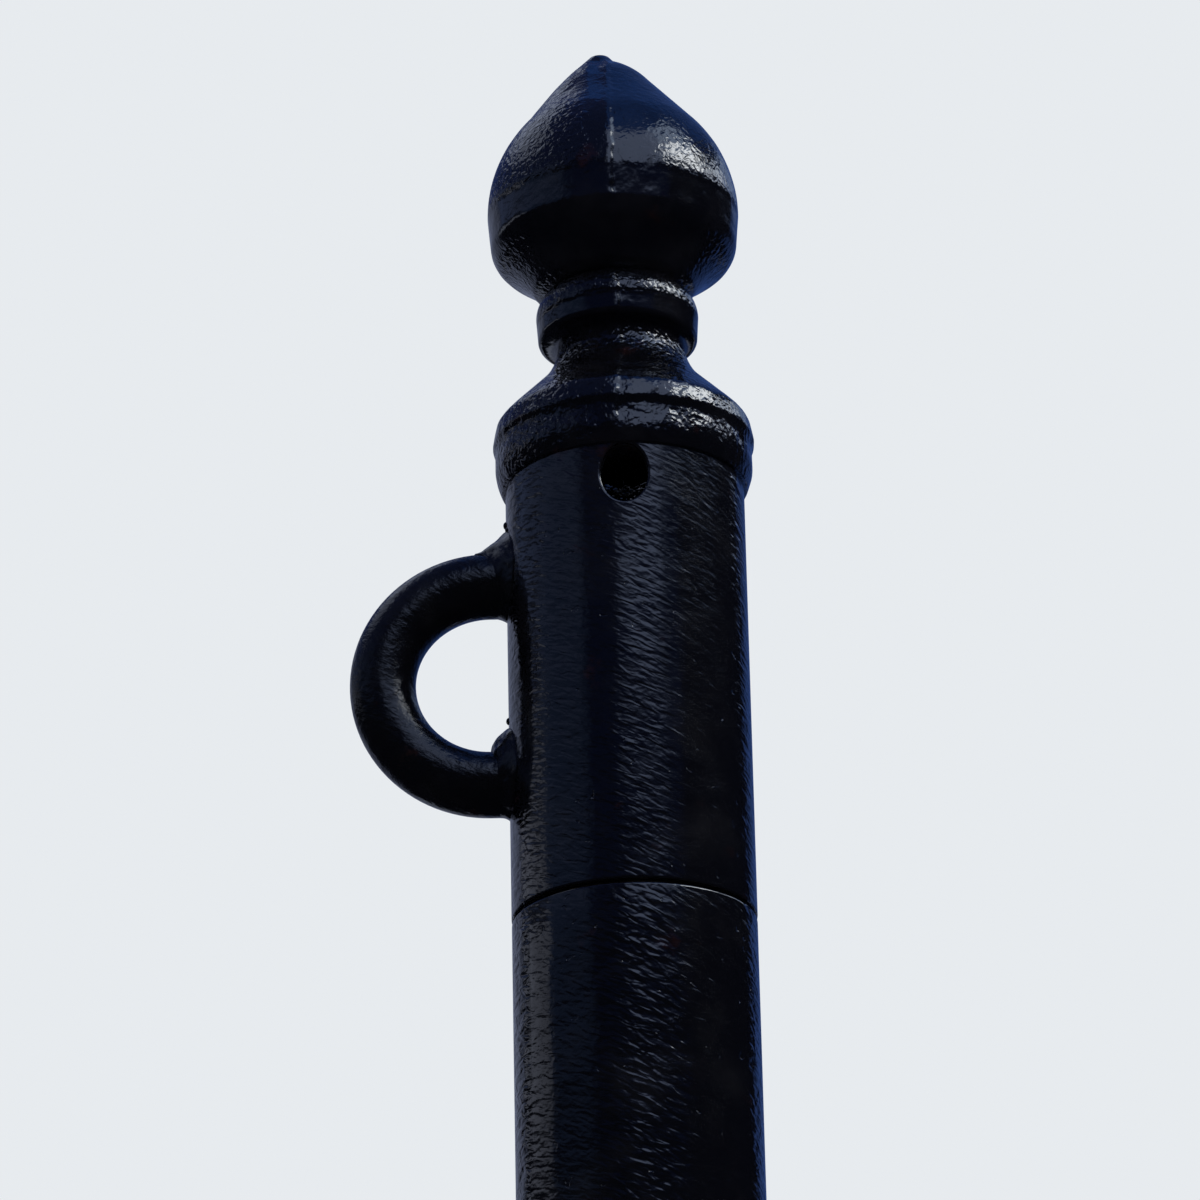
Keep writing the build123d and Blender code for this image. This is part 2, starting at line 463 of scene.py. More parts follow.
def arc_points(start, middle, end, count=60):
    """Points along the arc through three points."""
    (ax, ay), (bx, by), (cx, cy) = start, middle, end
    d = 2 * (ax * (by - cy) + bx * (cy - ay) + cx * (ay - by))
    a2 = ax * ax + ay * ay
    b2 = bx * bx + by * by
    c2 = cx * cx + cy * cy
    ux = (a2 * (by - cy) + b2 * (cy - ay) + c2 * (ay - by)) / d
    uy = (a2 * (cx - bx) + b2 * (ax - cx) + c2 * (bx - ax)) / d
    radius = np.hypot(ax - ux, ay - uy)
    first = atan2(ay - uy, ax - ux)
    via = (atan2(by - uy, bx - ux) - first) % (2 * pi)
    last = (atan2(cy - uy, cx - ux) - first) % (2 * pi)
    turn = last if via < last else last - 2 * pi
    angles = first + turn * np.linspace(0, 1, count)
    return [(ux + radius * np.cos(t), uy + radius * np.sin(t)) for t in angles]


def sagitta_arc(start, end, sagitta):
    """Points along the arc whose middle stands off the chord by the sagitta, to its left."""
    (ax, ay), (bx, by) = start, end
    length = np.hypot(bx - ax, by - ay)
    middle_x = (ax + bx) / 2 - (by - ay) / length * sagitta
    middle_y = (ay + by) / 2 + (bx - ax) / length * sagitta
    return arc_points(start, (middle_x, middle_y), end)


def rounded_corner(before, corner, after, radius, count=40):
    """Points round a corner with the given radius, from one straight side to the other."""
    b, c, a = (np.array(p, dtype=float) for p in (before, corner, after))
    into = (b - c) / np.linalg.norm(b - c)
    away = (a - c) / np.linalg.norm(a - c)
    half = np.arccos(np.clip(into @ away, -1, 1)) / 2
    reach = radius / np.tan(half)
    start = c + into * reach
    end = c + away * reach
    inward = (into + away) / np.linalg.norm(into + away)
    centre = c + inward * radius / np.sin(half)
    middle = centre - inward * radius
    return arc_points(tuple(start), tuple(middle), tuple(end), count)


def curve_from_upright(start, end, count=80):
    """Points along the arc that leaves the start upright and bends inward to the end."""
    (ax, ay), (bx, by) = start, end
    radius = ((ax - bx) ** 2 + (by - ay) ** 2) / (2 * (ax - bx))
    angles = np.linspace(0, np.arcsin((by - ay) / radius), count)
    return [(ax - radius + radius * np.cos(t), ay + radius * np.sin(t)) for t in angles]


def paint_rounded(profile):
    """The outline with its corners filled and rounded by thick paint, but for its very start."""
    points = np.array(profile)
    along = np.concatenate([[0], np.cumsum(np.hypot(*np.diff(points, axis=0).T))])
    even = np.arange(0, along[-1], PAINT_STEP)
    spread = np.arange(-3 * PAINT_SPREAD, 3 * PAINT_SPREAD + PAINT_STEP, PAINT_STEP)
    weight = np.exp(-((spread / PAINT_SPREAD) ** 2) / 2)
    share = np.clip(even / (4 * PAINT_SPREAD), 0, 1)
    rounded = []
    for axis in (0, 1):
        sharp = np.interp(even, along, points[:, axis])
        filled = np.interp(even[:, None] + spread, along, points[:, axis]) @ weight / weight.sum()
        rounded.append((1 - share) * sharp + share * filled)
    radii, heights = rounded
    heights = np.maximum.accumulate(heights)
    return [profile[0]] + list(zip(radii.tolist(), heights.tolist())) + [profile[-1]]


# Finial


def collar_and_neck():
    """Outline of the two stepped bands, the shoulder, the hollow cone and the neck."""
    outline = curve_from_upright(LOWER_BAND, (LIP_RADIUS, 0.0))[::-1] + [BAND_GROOVE]
    outline += rounded_corner(BAND_GROOVE, UPPER_BAND, SHOULDER, UPPER_BAND_ROUNDING)
    outline += rounded_corner(UPPER_BAND, SHOULDER, NECK_WAIST, SHOULDER_ROUNDING)
    outline += rounded_corner(SHOULDER, NECK_WAIST, NECK_TOP, NECK_HOLLOW)
    return paint_rounded(outline + [NECK_TOP, (NECK_TOP[0], BULB_HEEL[1])])


def bead_outline():
    """Outline of the bead, with its level underside."""
    outline = rounded_corner((0.0, BEAD_BASE[1]), BEAD_BASE, BEAD_WIDEST, BEAD_BASE_ROUNDING)
    return outline + curve_from_upright(BEAD_WIDEST, BEAD_TOP)


def bulb_outline():
    """Outline of the bulb: coved foot, rounded corner, cheek and swollen crown."""
    cove = sagitta_arc(BULB_HEEL, BULB_CORNER, BULB_COVE_DEPTH)[:-COVE_POINTS_CUT]
    outline = [BULB_FOOT] + cove
    outline += rounded_corner(cove[-1], BULB_CORNER, BULB_WIDEST, BULB_CORNER_ROUNDING)
    outline += curve_from_upright(BULB_WIDEST, BULB_CHEEK)
    return outline + sagitta_arc(BULB_CROWN, (0.0, BULB_APEX), -CROWN_SWELL)


def turned_forms():
    """The finial's four turned forms, as offset, heights and radii."""
    outlines = (
        (0.0, collar_and_neck()),
        (BEAD_OFFSET, bead_outline()),
        (BULB_OFFSET, bulb_outline()),
        (TIP_OFFSET, arc_points(TIP_SKIRT, TIP_MIDDLE, TIP_FLAT, 120)),
    )
    forms = []
    for offset, outline in outlines:
        radii, heights = np.array(outline).T
        forms.append((offset, heights, radii))
    return forms


def reach_of_form(offset, radius, centre, direction):
    """How far a form's circle lies from the centre line along each direction."""
    across = offset - centre
    along = across * direction[..., 0]
    square = radius**2 - (across * direction[..., 1]) ** 2
    return np.where((square > 0) & (radius > 0), along + np.sqrt(np.maximum(square, 0)), 0.0)


def finial_outline(heights, direction):
    """Centre line and reach of the finial at each height and direction, before its marks."""
    centre = np.interp(heights, *np.transpose(CENTRE_LINE))
    reaches = []
    for offset, form_heights, form_radii in turned_forms():
        radius = np.interp(heights, form_heights, form_radii, left=0.0, right=0.0)
        reaches.append(reach_of_form(offset, radius[:, None], centre[:, None], direction))
    second, largest = np.sort(reaches, axis=0)[-2:]
    near_tip = smooth_between(*TIP_CREASE_START, heights) * np.interp(heights, TIP_CREASE_END, (1, 0))
    softness = CREASE_SOFTNESS + (TIP_CREASE_SOFTNESS - CREASE_SOFTNESS) * near_tip[:, None]
    blend = np.maximum(0.0, 1.0 - (largest - second) / (4 * softness))
    return centre, largest + softness * 0.5 * blend**2


def finial_heights():
    """Heights of the rows, close together where the outline runs level."""
    fine = np.linspace(0.0, TIP_FLAT[1], HEIGHT_SAMPLES)
    reach = finial_outline(fine, around_axis(ROUGH_COLUMNS))[1].mean(axis=1)
    along = np.concatenate([[0], np.cumsum(np.hypot(np.diff(fine), np.diff(reach)))])
    return np.interp(np.linspace(0, along[-1], FINIAL_ROWS), along, fine)


def finial_directions():
    """Directions round the finial, close together at the parting line in front and behind."""
    turn = np.linspace(0, 2 * pi, TURN_SAMPLES)
    density = np.ones_like(turn)
    for angle, width, extra in CLOSER_COLUMNS:
        density += extra * np.exp(-(((turn - angle) / width) ** 2))
    share = np.concatenate([[0], np.cumsum((density[1:] + density[:-1]) / 2)])
    angles = np.interp(np.linspace(0, share[-1], FINIAL_COLUMNS + 1)[:-1], share, turn)
    return np.stack([np.cos(angles), np.sin(angles), np.zeros_like(angles)], axis=-1)


def parting_marks(points, heights, reach):
    """How far the surface lies inward by the parting line, the mould's step and the filed strip."""
    upright = np.stack([np.zeros_like(heights), np.zeros_like(heights), heights], axis=-1)
    line_x = np.interp(heights, *np.transpose(PARTING_LINE))
    line_x = line_x + PARTING_WANDER * lumps(upright, PARTING_WANDER_SIZE, 31)
    side = points[..., 0] - line_x[:, None]
    turn = np.hypot(side, PARTING_SOFTNESS) / np.maximum(reach, 1.0)
    keel = KEEL_SLOPE * reach * turn / KEEL_REACH * np.exp(1 - turn / KEEL_REACH)
    step = MOULD_STEP * smooth_between(0, MOULD_STEP_WIDTH, side)
    step *= np.exp(-np.maximum(side, 0) / MOULD_STEP_FADE)
    half = FILED_STRIP_WIDTH / 2
    strip = np.maximum(0, half**2 - (side + half) ** 2) / (2 * np.maximum(reach, FILED_STRIP_LEAST_RADIUS))
    strip *= smooth_between(*FILED_STRIP_START, heights)[:, None] * (points[..., 1] < 0)
    ends = smooth_between(*MARKS_START, heights) * smooth_between(*MARKS_END, heights)
    return (keel + step + FILED_STRIP_HOLLOW * strip) * ends[:, None]


def sandy_skin(points, heights):
    """How far the sandy surface lies inward, with lumps of thick paint on the collar."""
    skin_depth = SKIN_DEPTH * (0.5 + 0.5 * lumps(points, SKIN_SIZE, 1))
    skin_depth += 0.5 * SKIN_DEPTH * lumps(points, BROAD_SKIN_SIZE, 2)
    on_collar = smooth_between(SHOULDER[1] + COLLAR_LUMP_FADE, SHOULDER[1], heights)[:, None]
    skin_depth += on_collar * COLLAR_LUMP_DEPTH * (0.5 + 0.5 * lumps(points, COLLAR_LUMP_SIZE, 5))
    start = smooth_between(0.0, SKIN_START, heights)
    end = smooth_between(TIP_FLAT[1], TIP_FLAT[1] - SKIN_END, heights)
    return skin_depth * (start * end)[:, None]


def make_finial():
    """The casting: turned forms, then the marks of its mould, file and sand."""
    heights = finial_heights()
    direction = finial_directions()
    centre, reach = finial_outline(heights, direction)
    middle = np.stack([centre, np.zeros_like(centre), heights], axis=-1)[:, None, :]
    points = middle + reach[..., None] * direction
    inward = DRAWN_IN + parting_marks(points, heights, reach) + sandy_skin(points, heights)
    points = middle + np.maximum(reach - inward, LEAST_REACH)[..., None] * direction
    inside = [radius * direction + (0, 0, height) for radius, height in SOCKET_PROFILE]
    flat = [middle[-1] + TIP_FLAT[0] * share * direction for share in TIP_FLAT_RINGS]
    rows = np.concatenate([inside, points, flat])
    rows[..., 2] += LIP_Z / MM
    mesh = new_mesh("finial_casting", *skin(rows * MM, cap_first=True, cap_last=True))
    casting = new_piece("finial_casting", mesh, "head", casting_paint)
    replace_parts(casting, "finial")


# Pole tube


def make_pole_tube():
    """The pole as a round shell with a rounded rim at the seam, and with slight dents down its length."""
    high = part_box("pole_tube")[1]
    top = high.z / MM
    outer = high.x / MM
    bore = outer - TUBE_WALL
    profile = [(bore, top)]
    for t in np.linspace(pi / 2, 0, RIM_ROWS):
        profile.append((outer - SEAM_EDGE * (1 - cos(t)), top - SEAM_EDGE * (1 - sin(t))))
    profile += [(outer, height) for height in np.linspace(top - SEAM_EDGE, 0, WALL_ROWS)[1:]]
    profile += [(bore, height) for height in np.linspace(0, top, BORE_ROWS)]
    radii, heights = np.array(profile).T
    direction = around_axis(POLE_COLUMNS)
    points = radii[:, None, None] * direction
    points[..., 2] = heights[:, None]
    dents = DENT_DEPTH * (0.5 + 0.5 * lumps(points / np.array([1.0, 1.0, DENT_STRETCH]), DENT_SIZE, 41))
    dents *= smooth_between(outer - DENT_FADE, outer, radii)[:, None]
    points -= dents[..., None] * direction
    mesh = new_mesh("pole_shell", *skin(points * MM))
    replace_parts(new_piece("pole_shell", mesh, "pole", pole_paint), "pole_tube")


# Welds


def weld_edges(turn, up, down, toe_above, seed):
    """Ragged edges of a bead: its root's radius on the tube's wall and its toe's reach along the bar."""
    circle = (np.cos(turn) * RAGGED_RADIUS, np.sin(turn) * RAGGED_RADIUS, np.full_like(turn, RAGGED_HEIGHT))
    ragged = np.stack(circle, axis=-1)
    root = WELD_ROOT_SIDE + (WELD_ROOT_UP - WELD_ROOT_SIDE) * up**1.5
    root += (WELD_ROOT_DOWN - WELD_ROOT_SIDE) * down**1.5
    root += WELD_ROOT_WANDER * lumps(ragged, RAGGED_ROOT_SIZE, seed)
    toe = WELD_TOE_SIDE + (toe_above - WELD_TOE_SIDE) * up**2
    toe += (WELD_TOE_DOWN - WELD_TOE_SIDE) * down
    toe += WELD_TOE_WANDER * lumps(ragged, RAGGED_TOE_SIZE, seed + 2)
    return root, toe


def make_weld(place, side, toe_above, hollow_above, seed):
    """The bead round one leg, from inside the tube's wall, over its flare and into the bar."""
    turn = np.linspace(0, 2 * pi, WELD_COLUMNS, endpoint=False)
    up = np.maximum(np.sin(turn), 0)
    down = np.maximum(-np.sin(turn), 0)
    root, toe = weld_edges(turn, up, down, toe_above, seed)
    leg_z = (RING_Z + side * BEND_RADIUS) / MM
    bar = BAR_RADIUS / MM + WELD_TOE_THICKNESS
    tube = TUBE_RADIUS / MM
    hollow = WELD_SIDE_HOLLOW + (hollow_above - WELD_SIDE_HOLLOW) * up**0.7
    rows = []
    for share in np.linspace(WELD_START, WELD_END, WELD_ROWS):
        seen = np.clip(share, 0, 1)
        radius = bar + (root - bar) * (1 - seen) ** hollow - WELD_DEPTH_IN_BAR * max(share - 1, 0)
        y = radius * np.cos(turn)
        z = leg_z + radius * np.sin(turn)
        wall = -np.sqrt(np.maximum(tube**2 - y**2, 0))
        x = wall - toe * seen**0.9 - WELD_LIFT * (share > 0) + WELD_DEPTH_IN_WALL * max(-share, 0)
        rows.append(np.stack([x, y, z], axis=-1))
    points = np.array(rows)
    outward = points - np.array([WELD_BUMPS_FROM - tube, 0, leg_z])
    outward /= np.linalg.norm(outward, axis=-1, keepdims=True)
    bumps = WELD_LUMP_DEPTH * lumps(points, WELD_LUMP_SIZE, 21)
    bumps += WELD_GRIT_DEPTH * lumps(points, WELD_GRIT_SIZE, 22)
    points = points + bumps[..., None] * outward
    mesh = new_mesh(f"{place}_weld_bead", *skin(points * MM))
    bead = new_piece(f"{place}_weld_bead", mesh, "head", weld_paint)
    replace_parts(bead, f"{place}_ring_weld")


def make_spatter():
    """Small drops of weld metal that stuck to the wall of the tube."""
    direction = around_axis(SPATTER_COLUMNS)
    levels = np.radians(np.linspace(-SPATTER_END_LEVEL, SPATTER_END_LEVEL, SPATTER_ROWS))
    verts = []
    faces = []
    for angle, height, radius in SPATTER:
        wall = TUBE_RADIUS / MM - SPATTER_SUNK * radius
        centre = (-wall * cos(radians(angle)), -wall * sin(radians(angle)), RING_Z / MM + height)
        rows = []
        for level in levels:
            upward = np.array([0, 0, SPATTER_STRETCH * sin(level)])
            rows.append(centre + radius * (direction * cos(level) + upward))
        drop_verts, drop_faces = skin(np.array(rows) * MM, cap_first=True, cap_last=True)
        faces += [[len(verts) + corner for corner in face] for face in drop_faces]
        verts += drop_verts
    mesh = new_mesh("weld_spatter", verts, faces)
    new_piece("weld_spatter", mesh, "head", weld_paint)


# Materials


class Nodes:
    """Adds nodes to one material and links them."""

    def __init__(self, name):
        self.material = bpy.data.materials.new(name)
        self.material.use_nodes = True
        self.tree = self.material.node_tree
        self.shader = self.tree.nodes["Principled BSDF"]
        self.place = self.add("ShaderNodeTexCoord").outputs["Object"]

    def add(self, kind, **settings):
        """A new node of a kind, with its settings."""
        node = self.tree.nodes.new(kind)
        for key, value in settings.items():
            setattr(node, key, value)
        return node

    def link(self, output, socket):
        """Joins an output to a socket."""
        self.tree.links.new(output, socket)

    def axes(self):
        """The place on the piece as x, y and z."""
        split = self.add("ShaderNodeSeparateXYZ")
        self.link(self.place, split.inputs[0])
        return list(split.outputs)

    def stretched(self, scale, shear=0.0):
        """The place on the piece, scaled by axis, with z tilted along x."""
        x, y, z = self.axes()
        tilted = self.add("ShaderNodeCombineXYZ")
        self.link(x, tilted.inputs[0])
        self.link(y, tilted.inputs[1])
        self.link(self.math("MULTIPLY_ADD", x, shear, z), tilted.inputs[2])
        mapping = self.add("ShaderNodeMapping")
        mapping.inputs["Scale"].default_value = scale
        self.link(tilted.outputs[0], mapping.inputs[0])
        return mapping.outputs[0]

    def noise(self, scale, detail, rough, place=None, twist=0.0):
        """Cloudy noise of about 0 to 1."""
        node = self.add("ShaderNodeTexNoise")
        node.inputs["Scale"].default_value = scale
        node.inputs["Detail"].default_value = detail
        node.inputs["Roughness"].default_value = rough
        node.inputs["Distortion"].default_value = twist
        self.link(place or self.place, node.inputs["Vector"])
        return node.outputs["Fac"]

    def math(self, operation, *values):
        """The result of a sum on outputs or numbers."""
        node = self.add("ShaderNodeMath", operation=operation)
        for socket, value in zip(node.inputs, values):
            if isinstance(value, (int, float)):
                socket.default_value = value
            else:
                self.link(value, socket)
        return node.outputs[0]

    def distance(self, x, y):
        """How far a place lies from the Z axis."""
        return self.math("SQRT", self.math("ADD", self.math("MULTIPLY", x, x), self.math("MULTIPLY", y, y)))

    def remap(self, value, between, results, soft=False):
        """The value with its range carried over to another range."""
        node = self.add("ShaderNodeMapRange", interpolation_type="SMOOTHSTEP" if soft else "LINEAR")
        node.inputs["From Min"].default_value = between[0]
        node.inputs["From Max"].default_value = between[1]
        node.inputs["To Min"].default_value = results[0]
        node.inputs["To Max"].default_value = results[1]
        self.link(value, node.inputs["Value"])
        return node.outputs[0]

    def band(self, value, between, softness):
        """1 inside a range and 0 outside it, with soft edges."""
        low, high = between
        rise = self.remap(value, (low - softness, low + softness), (0, 1), soft=True)
        fall = self.remap(value, (high - softness, high + softness), (1, 0), soft=True)
        return self.math("MULTIPLY", rise, fall)

    def mix(self, share, first, second):
        """A blend of two colours."""
        node = self.add("ShaderNodeMix", data_type="RGBA")
        sockets = [socket for socket in node.inputs if socket.type == "RGBA"]
        for socket, colour in zip(sockets, (first, second)):
            if isinstance(colour, tuple):
                socket.default_value = (*colour, 1.0)
            else:
                self.link(colour, socket)
        self.link(share, node.inputs[0])
        return [output for output in node.outputs if output.type == "RGBA"][0]

    def relief(self, *layers):
        """Marks in the surface, each a pattern with its depth, laid over one another."""
        below = None
        for pattern, depth in layers:
            node = self.add("ShaderNodeBump")
            node.inputs["Strength"].default_value = 1.0
            node.inputs["Distance"].default_value = depth
            self.link(pattern, node.inputs["Height"])
            if below is not None:
                self.link(below, node.inputs["Normal"])
            below = node.outputs[0]
        self.link(below, self.shader.inputs["Normal"])

    def varied(self, results, scale, detail, rough):
        """A value that wanders between two results over the surface."""
        return self.remap(self.noise(scale, detail, rough), CLOUDY, results)

    def roughness(self, pattern):
        """Gives the surface a roughness that varies."""
        self.link(pattern, self.shader.inputs["Roughness"])

    def paint_colour(self, rust_share):
        """Black paint with chalky and rusty patches."""
        cloudy = self.remap(self.noise(38, 4, 0.6), (0.5, 0.75), (0, 1))
        colour = self.mix(cloudy, PAINT, PAINT_WORN)
        rusty = self.remap(self.noise(55, 5, 0.7), (0.62, 0.72), (0, rust_share))
        self.link(self.mix(rusty, colour, RUST), self.shader.inputs["Base Color"])


def make_tube_paint(name, ripples_each_metre, ripple_depth, left_share):
    """Gloss black with broad waves, a few pits and slanting ripples, deepest in front and at either side."""
    nodes = Nodes(name)
    nodes.paint_colour(rust_share=0.35)
    x, y, _ = nodes.axes()
    bore = nodes.remap(nodes.distance(x, y), BORE_SURFACE, (BORE_ROUGHNESS, 0.0))
    gloss = nodes.varied(TUBE_ROUGHNESS, 90, 4, 0.6)
    nodes.roughness(nodes.math("MAXIMUM", gloss, bore))
    slanting = nodes.stretched((190, 190, ripples_each_metre), 0.42)
    ripples = nodes.noise(1.0, 1.2, 0.5, slanting, twist=0.5)
    from_left = nodes.remap(x, RIPPLE_LEFT_EDGE, (left_share, 1.0), soft=True)
    to_right = nodes.remap(x, RIPPLE_RIGHT_EDGE, (1.0, RIPPLES_RIGHT_OF_FRONT), soft=True)
    in_front = nodes.math("MINIMUM", from_left, to_right)
    at_sides = nodes.remap(nodes.math("ABSOLUTE", x), RIPPLE_OUTLINE, (0.0, RIPPLES_AT_OUTLINE), soft=True)
    ripples = nodes.math("MULTIPLY", ripples, nodes.math("MAXIMUM", in_front, at_sides))
    ripples = nodes.math("MULTIPLY", ripples, nodes.math("LESS_THAN", bore, 0.1))
    waves = nodes.noise(1.0, 1, 0.4, nodes.stretched((60, 60, 30)))
    peel = nodes.noise(480, 1.5, 0.5, twist=0.4)
    drags = nodes.noise(1.0, 2, 0.5, nodes.stretched((80, 80, 900), 0.3))
    pits = nodes.remap(nodes.noise(300, 0, 0.5), (0.80, 0.82), (0, -1))
    nodes.relief(
        (waves, TUBE_WAVE_DEPTH),
        (peel, TUBE_PEEL_DEPTH),
        (ripples, ripple_depth),
        (drags, DRAG_DEPTH),
        (pits, PIT_DEPTH),
    )
    return nodes.material


def make_bar_paint():
    """Gloss black on the bent bar, with waves, orange peel and slanting streaks."""
    nodes = Nodes("bar_paint")
    nodes.paint_colour(rust_share=0.5)
    nodes.roughness(nodes.varied(BAR_ROUGHNESS, 120, 4, 0.6))
    nodes.shader.inputs["Specular IOR Level"].default_value = BAR_GLOSS
    waves = nodes.noise(110, 2, 0.5)
    peel = nodes.noise(420, 2, 0.5, twist=0.4)
    streaks = nodes.noise(1.0, 4, 0.6, nodes.stretched((260, 260, 700), 0.5))
    nodes.relief((waves, BAR_WAVE_DEPTH), (peel, BAR_PEEL_DEPTH), (streaks, BAR_STREAK_DEPTH))
    return nodes.material


def make_weld_paint():
    """Gloss black over the weld beads, duller and browner than the tube."""
    nodes = Nodes("weld_paint")
    nodes.paint_colour(rust_share=0.8)
    nodes.roughness(nodes.varied(WELD_ROUGHNESS, 300, 4, 0.6))
    nodes.shader.inputs["Specular IOR Level"].default_value = BAR_GLOSS
    nodes.relief((nodes.noise(420, 2, 0.5, twist=0.4), WELD_PEEL_DEPTH))
    return nodes.material


def grain_share(nodes, x, height):
    """How strong the casting's grain is at each place: weak under the bulb and left of the middle."""
    wander = nodes.varied((-GRAIN_WANDER, GRAIN_WANDER), 60, 3, 0.5)
    across = nodes.math("ADD", x, wander)
    to_right = nodes.remap(across, GRAIN_TO_RIGHT, RIGHT_GRAIN)
    to_left = nodes.remap(across, GRAIN_TO_LEFT, LEFT_GRAIN)
    to_outline = nodes.remap(nodes.math("ABSOLUTE", x), GRAIN_TO_OUTLINE, OUTLINE_GRAIN)
    bead_wall = nodes.band(height, *BEAD_WALL_BAND)
    under_bulb = nodes.band(height, *UNDER_BULB_BAND)
    quiet = nodes.remap(nodes.math("MAXIMUM", bead_wall, under_bulb), (0, 1), (1, QUIET_GRAIN))
    share = nodes.math("MULTIPLY", nodes.math("MAXIMUM", to_right, to_left), quiet)
    at_corner = nodes.math("MULTIPLY", to_outline, nodes.band(height, *BULB_CORNER_BAND))
    at_bead = nodes.math("MULTIPLY", nodes.band(height, *BEAD_EDGE_BAND), BEAD_EDGE_GRAIN)
    neck = nodes.math("MULTIPLY", nodes.band(height, *NECK_BAND), NECK_GRAIN)
    at_neck = nodes.math("MULTIPLY", neck, to_right)
    for patch in (at_corner, at_bead, at_neck):
        share = nodes.math("MAXIMUM", share, patch)
    return share


def make_casting_paint():
    """Gloss black over sandy cast iron, grainy in patches and smooth between them."""
    nodes = Nodes("casting_paint")
    nodes.paint_colour(rust_share=0.35)
    nodes.roughness(nodes.varied(CASTING_ROUGHNESS, 60, 5, 0.6))
    x, _, z = nodes.axes()
    height = nodes.math("SUBTRACT", z, LIP_Z)
    on_collar = nodes.remap(height, COLLAR_TOP, (1.0, 0.25), soft=True)
    waves = nodes.math("MULTIPLY", nodes.noise(190, 2, 0.5), on_collar)
    grain = nodes.math("MULTIPLY", nodes.noise(500, 1.5, 0.5, twist=0.5), grain_share(nodes, x, height))
    nodes.relief((waves, COLLAR_WAVE_DEPTH), (grain, GRAIN_DEPTH))
    return nodes.material


def make_greasy_steel():
    """Turned steel under a film of old grease."""
    nodes = Nodes("greasy_steel")
    grease = nodes.remap(nodes.noise(70, 5, 0.6), (0.4, 0.65), (0, 1))
    nodes.link(nodes.mix(grease, STEEL, GREASE), nodes.shader.inputs["Base Color"])
    nodes.shader.inputs["Metallic"].default_value = 0.85
    nodes.roughness(nodes.remap(grease, (0, 1), STEEL_ROUGHNESS))
    nodes.relief((nodes.noise(1.0, 2, 0.5, nodes.stretched((20, 20, 2600))), LATHE_DEPTH))
    return nodes.material


def finish_node(node, material):
    """Gives a node of the solid model its material."""
    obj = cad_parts[node]
    obj.data.materials.clear()
    obj.data.materials.append(material)


# Camera, floor and light


def make_camera():
    """The photograph's camera, as a pinhole that looks up at the head."""
    yaw, pitch, roll = CAMERA_YAW, CAMERA_PITCH, CAMERA_ROLL
    ahead = Vector((sin(yaw) * cos(pitch), cos(yaw) * cos(pitch), sin(pitch)))
    level = Vector((cos(yaw), -sin(yaw), 0))
    above = level.cross(ahead)
    right = level * cos(roll) + above * sin(roll)
    over = -level * sin(roll) + above * cos(roll)
    data = bpy.data.cameras.new("photo_camera")
    data.sensor_width = SENSOR_WIDTH
    data.lens = SENSOR_WIDTH * FOCAL_PIXELS / FRAME_PIXELS
    camera = bpy.data.objects.new("photo_camera", data)
    place = Vector((0, -CAMERA_BACK, SEAM_Z - CAMERA_BELOW_SEAM))
    turn = Matrix((right, over, -ahead)).transposed().to_4x4()
    camera.matrix_world = Matrix.Translation(place) @ turn
    bpy.context.scene.collection.objects.link(camera)
    bpy.context.scene.camera = camera


def make_world():
    """Plain light from all round, and a pale background for the camera and for reflections."""
    world = bpy.data.worlds.new("studio")
    world.use_nodes = True
    bpy.context.scene.world = world
    tree = world.node_tree
    tree.nodes.clear()
    path = tree.nodes.new("ShaderNodeLightPath")
    seen = path.outputs["Is Camera Ray"]
    for name in ("Is Glossy Ray", "Is Transmission Ray"):
        either = tree.nodes.new("ShaderNodeMath")
        either.operation = "MAXIMUM"
        tree.links.new(seen, either.inputs[0])
        tree.links.new(path.outputs[name], either.inputs[1])
        seen = either.outputs[0]
    mix = tree.nodes.new("ShaderNodeMixShader")
    tree.links.new(seen, mix.inputs[0])
    for socket, colour in ((1, ROOM_LIGHT), (2, PALE_BACKGROUND)):
        background = tree.nodes.new("ShaderNodeBackground")
        background.inputs["Color"].default_value = (*colour, 1)
        background.inputs["Strength"].default_value = 1.0
        tree.links.new(background.outputs[0], mix.inputs[socket])
    out = tree.nodes.new("ShaderNodeOutputWorld")
    tree.links.new(mix.outputs[0], out.inputs["Surface"])


def make_floor():
    """A wide pale floor at ground level."""
    material = bpy.data.materials.new("pale_floor")
    material.use_nodes = True
    shader = material.node_tree.nodes["Principled BSDF"]
    shader.inputs["Base Color"].default_value = (*FLOOR_COLOUR, 1)
    shader.inputs["Roughness"].default_value = FLOOR_ROUGHNESS
    half = FLOOR_HALF_WIDTH
    corners = [(-half, -half, 0), (half, -half, 0), (half, half, 0), (-half, half, 0)]
    floor = new_stage_piece("floor", new_mesh("floor", corners, [(0, 1, 2, 3)]), material)
    floor.visible_glossy = False


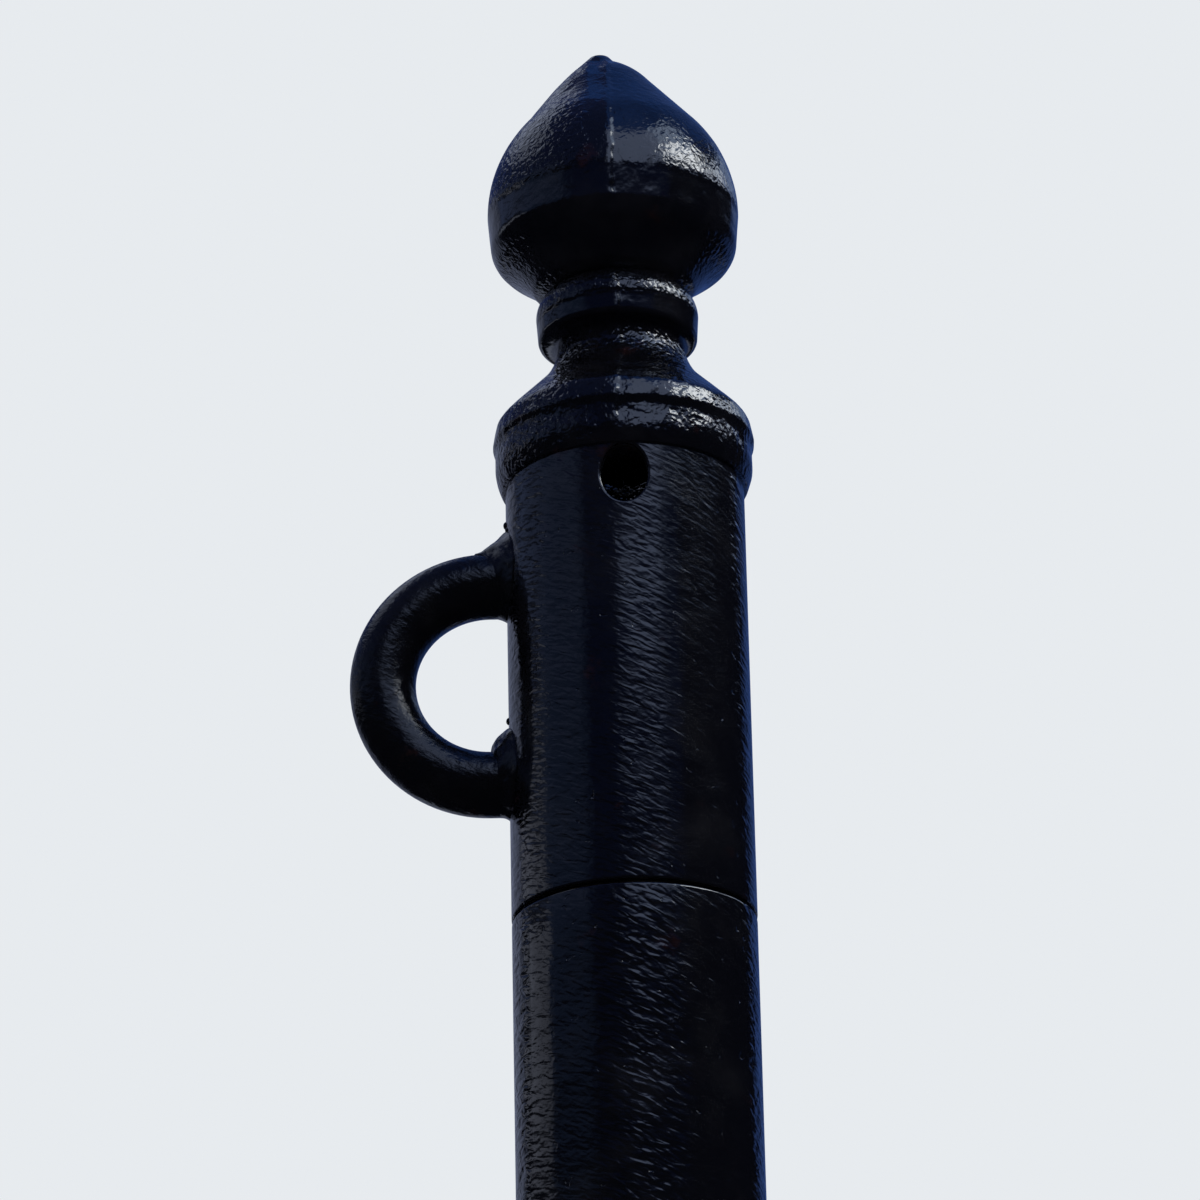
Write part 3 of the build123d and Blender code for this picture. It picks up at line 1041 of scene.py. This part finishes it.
def make_dome_light():
    """The dome's glow, painted in patches of light and shade: azimuth 0 faces the camera and grows to its
    right, elevation 0 is level.
    """
    nodes = Nodes("dome_light")
    x, y, z = nodes.axes()
    azimuth = nodes.math("DEGREES", nodes.math("ARCTAN2", x, nodes.math("MULTIPLY", y, -1.0)))
    elevation = nodes.math("DEGREES", nodes.math("ARCTAN2", z, nodes.distance(x, y)))
    colour = BLACK
    for azimuths, elevations, softness, tone in PAINTED_REFLECTION_PATCHES:
        across = nodes.band(azimuth, azimuths, softness)
        upward = nodes.band(elevation, elevations, softness / 2)
        colour = nodes.mix(nodes.math("MULTIPLY", across, upward), colour, tone)
    nodes.tree.nodes.remove(nodes.shader)
    glow = nodes.add("ShaderNodeEmission")
    nodes.link(colour, glow.inputs["Color"])
    nodes.link(glow.outputs[0], nodes.tree.nodes["Material Output"].inputs["Surface"])
    return nodes.material


def make_dome():
    """A glowing dome over the head, painted with patches of light and shade, with walls down past the floor,
    that only the object's gloss shows.
    """
    direction = around_axis(DOME_COLUMNS)
    rows = []
    for height in (-HEAD_Z - WALL_BELOW_FLOOR, DOME_RADIUS * sin(BRIM_ELEVATION)):
        rows.append(direction * WALL_RADIUS + (0, 0, height))
    for elevation in np.linspace(BRIM_ELEVATION, radians(89), DOME_ROWS):
        upward = np.array([0, 0, sin(elevation)])
        rows.append((direction * cos(elevation) + upward) * DOME_RADIUS)
    mesh = new_mesh("dome", *skin(rows, cap_first=True, cap_last=True))
    dome = new_stage_piece("dome", mesh, make_dome_light())
    dome.location = (0, 0, HEAD_Z)
    dome.visible_camera = False
    dome.visible_shadow = False
    dome.visible_diffuse = False
    dome.visible_transmission = False


def make_softbox():
    """A large soft light up to the right, for the matt patches and the floor."""
    data = bpy.data.lights.new("softbox", "AREA")
    data.shape = "RECTANGLE"
    data.size, data.size_y = SOFTBOX_SIZE
    data.energy = SOFTBOX_POWER
    light = bpy.data.objects.new("softbox", data)
    toward = Vector(SOFTBOX_TOWARD).normalized()
    light.location = Vector((0, 0, HEAD_Z)) + toward * SOFTBOX_DISTANCE
    light.rotation_euler = toward.to_track_quat("Z", "Y").to_euler()
    light.visible_camera = False
    light.visible_glossy = False
    bpy.context.scene.collection.objects.link(light)


# Finishes

head_paint = make_tube_paint("head_paint", *RIPPLES_OF_HEAD)
pole_paint = make_tube_paint("pole_paint", *RIPPLES_OF_POLE)
bar_paint = make_bar_paint()
weld_paint = make_weld_paint()
casting_paint = make_casting_paint()
greasy_steel = make_greasy_steel()

# Studio

bpy.context.scene.view_settings.view_transform = "Standard"
make_camera()
make_world()
make_floor()
make_dome()
make_softbox()

# Object

finish_node("head_tube", head_paint)
finish_node("pole_tube", pole_paint)
finish_node("line_ring", bar_paint)
finish_node("spigot", greasy_steel)
make_pole_tube()
make_finial()
for weld in WELDS:
    make_weld(*weld)
make_spatter()
